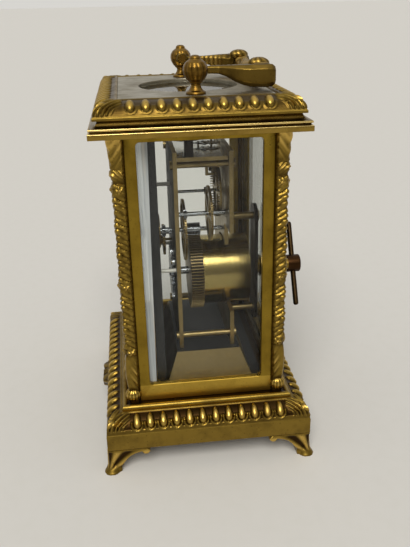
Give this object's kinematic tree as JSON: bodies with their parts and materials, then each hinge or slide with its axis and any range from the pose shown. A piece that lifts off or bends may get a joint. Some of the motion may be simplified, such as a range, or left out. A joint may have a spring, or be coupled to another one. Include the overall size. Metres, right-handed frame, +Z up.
{
  "type": "carriage clock",
  "caption": "Glazed brass carriage clock with cast feet, egg-banded base and top, folding handle, rear door with winding key and a lever movement behind glass.",
  "frame": {"origin": "on the table surface under the middle of the base", "axes": "+Z up, the dial faces -Y, +X is to the right of someone reading the dial"},
  "size_m": [0.1042, 0.089, 0.153],
  "materials": {
    "cast_brass": "aged cast brass, worn bright on the high points",
    "polished_brass": "polished brass, lightly tarnished",
    "top_brass": "satin brass, dull",
    "glass": "clear, bevel-edged",
    "dark_floor": "black lacquer",
    "movement_brass": "satin brass",
    "steel": "polished and hardened",
    "blued_steel": "blued",
    "key_bronze": "dark bronzed",
    "enamel": "white enamel on copper",
    "mask_brass": "gilt, matted"
  },
  "bodies": {
    "case": {"base_plinth": "cast_brass", "bottom_plate": "top_brass", "case_floor": "dark_floor", "feet": "cast_brass", "pillar_front_left": "cast_brass", "pillar_front_right": "cast_brass", "pillar_rear_left": "cast_brass", "pillar_rear_right": "cast_brass", "front_frame": "polished_brass", "left_frame": "polished_brass", "right_frame": "polished_brass", "front_glass": "glass", "left_glass": "glass", "right_glass": "glass", "cornice": "polished_brass", "case_screws": "steel", "top_frame": "cast_brass", "top_plate": "top_brass", "top_glass": "glass", "handle_urns": "cast_brass", "handle_pins": "steel", "plinth_ornament": "cast_brass", "movement_stand": "movement_brass", "front_plate": "movement_brass", "back_plate": "movement_brass", "plate_spacers": "movement_brass", "barrel_bridge": "movement_brass", "bridge_posts": "movement_brass", "platform": "steel", "balance_cock": "movement_brass", "hairspring": "steel", "dial": "enamel", "dial_mask": "mask_brass"},
    "handle": {"handle": "cast_brass"},
    "rear_door": {"rear_door": "polished_brass", "door_glass": "glass", "key_eyelet": "polished_brass", "hinge_pin": "steel", "door_knob": "polished_brass"},
    "winding_key": {"key_stem": "key_bronze", "key_cross_bar": "key_bronze"},
    "winding_arbor": {"winding_arbor": "steel", "ratchet_wheel": "steel"},
    "click": {"click": "steel"},
    "barrel": {"great_wheel": "movement_brass", "barrel_drum": "movement_brass", "barrel_cover": "movement_brass", "mainspring": "steel"},
    "centre_wheel": {"centre_arbor": "steel", "centre_wheel": "movement_brass"},
    "third_wheel": {"third_wheel": "movement_brass"},
    "contrate_wheel": {"contrate_wheel": "movement_brass"},
    "escape_wheel": {"escape_wheel": "movement_brass"},
    "pallet_lever": {"pallet_lever": "steel"},
    "balance": {"balance_wheel": "movement_brass"},
    "minute_hand": {"cannon_pinion": "steel", "minute_hand": "blued_steel"},
    "minute_wheel": {"minute_wheel": "movement_brass"},
    "hour_hand": {"hour_wheel": "movement_brass", "hour_hand": "blued_steel"}
  },
  "joints": [
    {"name": "handle_swing", "type": "hinge", "parent": "case", "child": "handle", "pos_m": [0, 0, 0.148], "axis": [1, 0, 0], "range_deg": [0, 186]},
    {"name": "rear_door_swing", "type": "hinge", "parent": "case", "child": "rear_door", "pos_m": [-0.034, 0.0288, 0.077], "axis": [0, 0, 1], "range_deg": [0, 100]},
    {"name": "key_wind", "type": "hinge", "parent": "rear_door", "child": "winding_key", "pos_m": [0, 0.035, 0.063], "axis": [0, 1, 0], "continuous": true},
    {"name": "winding_arbor_turn", "type": "hinge", "parent": "case", "child": "winding_arbor", "pos_m": [0, 0.008, 0.063], "axis": [0, 1, 0], "continuous": true},
    {"name": "click_lift", "type": "hinge", "parent": "case", "child": "click", "pos_m": [0.01319, -0.0093, 0.07223], "axis": [0, 1, 0], "range_deg": [0, 12]},
    {"name": "third_wheel_turn", "type": "hinge", "parent": "case", "child": "third_wheel", "pos_m": [0.01, 0.003, 0.09119], "axis": [0, 1, 0], "continuous": true},
    {"name": "centre_wheel_turn", "type": "hinge", "parent": "case", "child": "centre_wheel", "pos_m": [0, 0, 0.0814], "axis": [0, 1, 0], "continuous": true},
    {"name": "barrel_turn", "type": "hinge", "parent": "case", "child": "barrel", "pos_m": [0, 0.01, 0.063], "axis": [0, 1, 0], "continuous": true},
    {"name": "contrate_wheel_turn", "type": "hinge", "parent": "case", "child": "contrate_wheel", "pos_m": [0, 0.006, 0.09782], "axis": [0, 1, 0], "continuous": true},
    {"name": "escape_wheel_turn", "type": "hinge", "parent": "case", "child": "escape_wheel", "pos_m": [0, 0.0087, 0.117], "axis": [0, 0, 1], "continuous": true},
    {"name": "pallet_lever_rock", "type": "hinge", "parent": "case", "child": "pallet_lever", "pos_m": [0, 0.0034, 0.1175], "axis": [0, 0, 1], "range_deg": [-5, 5]},
    {"name": "balance_swing", "type": "hinge", "parent": "case", "child": "balance", "pos_m": [0, -0.0016, 0.12], "axis": [0, 0, 1], "range_deg": [-220, 220], "stiffness_Nm_per_rad": 0.000009},
    {"name": "minute_hand_turn", "type": "hinge", "parent": "case", "child": "minute_hand", "pos_m": [0, -0.016, 0.0814], "axis": [0, 1, 0], "continuous": true},
    {"name": "minute_wheel_turn", "type": "hinge", "parent": "case", "child": "minute_wheel", "pos_m": [-0.00594, -0.013, 0.07546], "axis": [0, 1, 0], "continuous": true},
    {"name": "hour_hand_turn", "type": "hinge", "parent": "case", "child": "hour_hand", "pos_m": [0, -0.018, 0.0814], "axis": [0, 1, 0], "continuous": true}
  ],
  "couplings": [
    {"joint": "winding_arbor_turn", "follows": "key_wind", "ratio": 1},
    {"joint": "centre_wheel_turn", "follows": "third_wheel_turn", "ratio": -0.11111},
    {"joint": "barrel_turn", "follows": "third_wheel_turn", "ratio": 0.016667},
    {"joint": "contrate_wheel_turn", "follows": "third_wheel_turn", "ratio": -9},
    {"joint": "escape_wheel_turn", "follows": "third_wheel_turn", "ratio": 90},
    {"joint": "minute_wheel_turn", "follows": "minute_hand_turn", "ratio": -0.33333},
    {"joint": "hour_hand_turn", "follows": "minute_hand_turn", "ratio": 0.083333}
  ]
}
